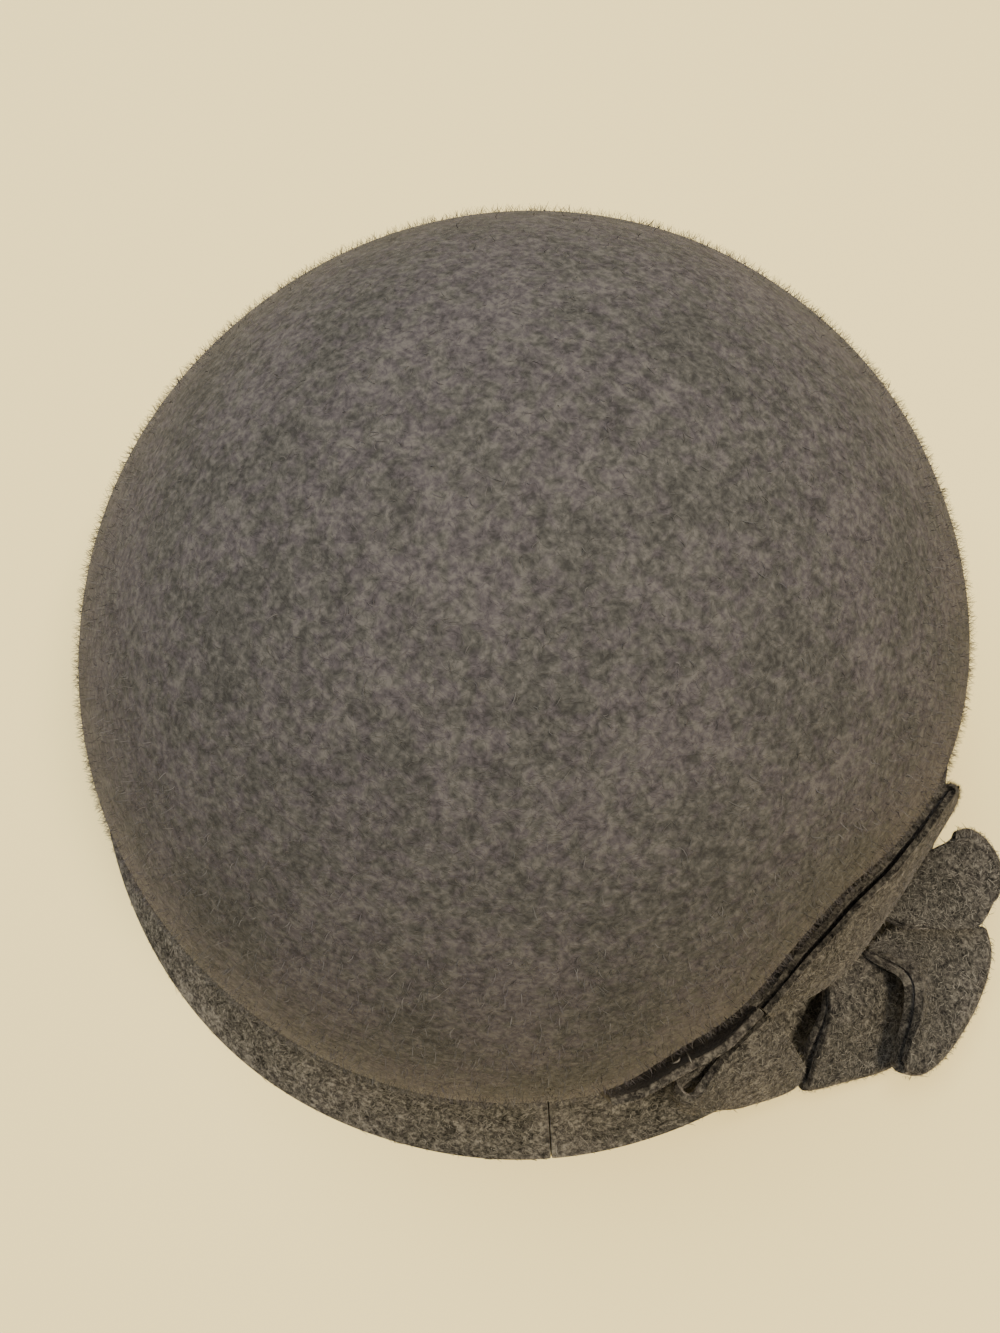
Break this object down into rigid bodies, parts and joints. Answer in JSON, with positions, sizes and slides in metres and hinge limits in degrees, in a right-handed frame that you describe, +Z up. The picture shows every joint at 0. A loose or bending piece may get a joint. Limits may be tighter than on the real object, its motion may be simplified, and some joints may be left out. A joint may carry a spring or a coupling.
{
  "type": "cloche hat",
  "caption": "Felt cloche hat with a round crown, a narrow flared brim and a side bow of folded felt loops.",
  "frame": {"origin": "on the table, under the middle of the hat's overall width and length", "axes": "+Z up; the front of the hat is towards -Y; the bow is on the +X side"},
  "size_m": [0.2464, 0.232, 0.1345],
  "materials": {
    "felt": "matte wool felt, warm grey melange"
  },
  "bodies": {
    "root": {"crown": "felt", "brim": "felt", "back_strip": "felt", "upper_loop": "felt", "front_loop": "felt", "lower_loop": "felt", "side_loop": "felt", "rear_loop": "felt"}
  },
  "joints": []
}
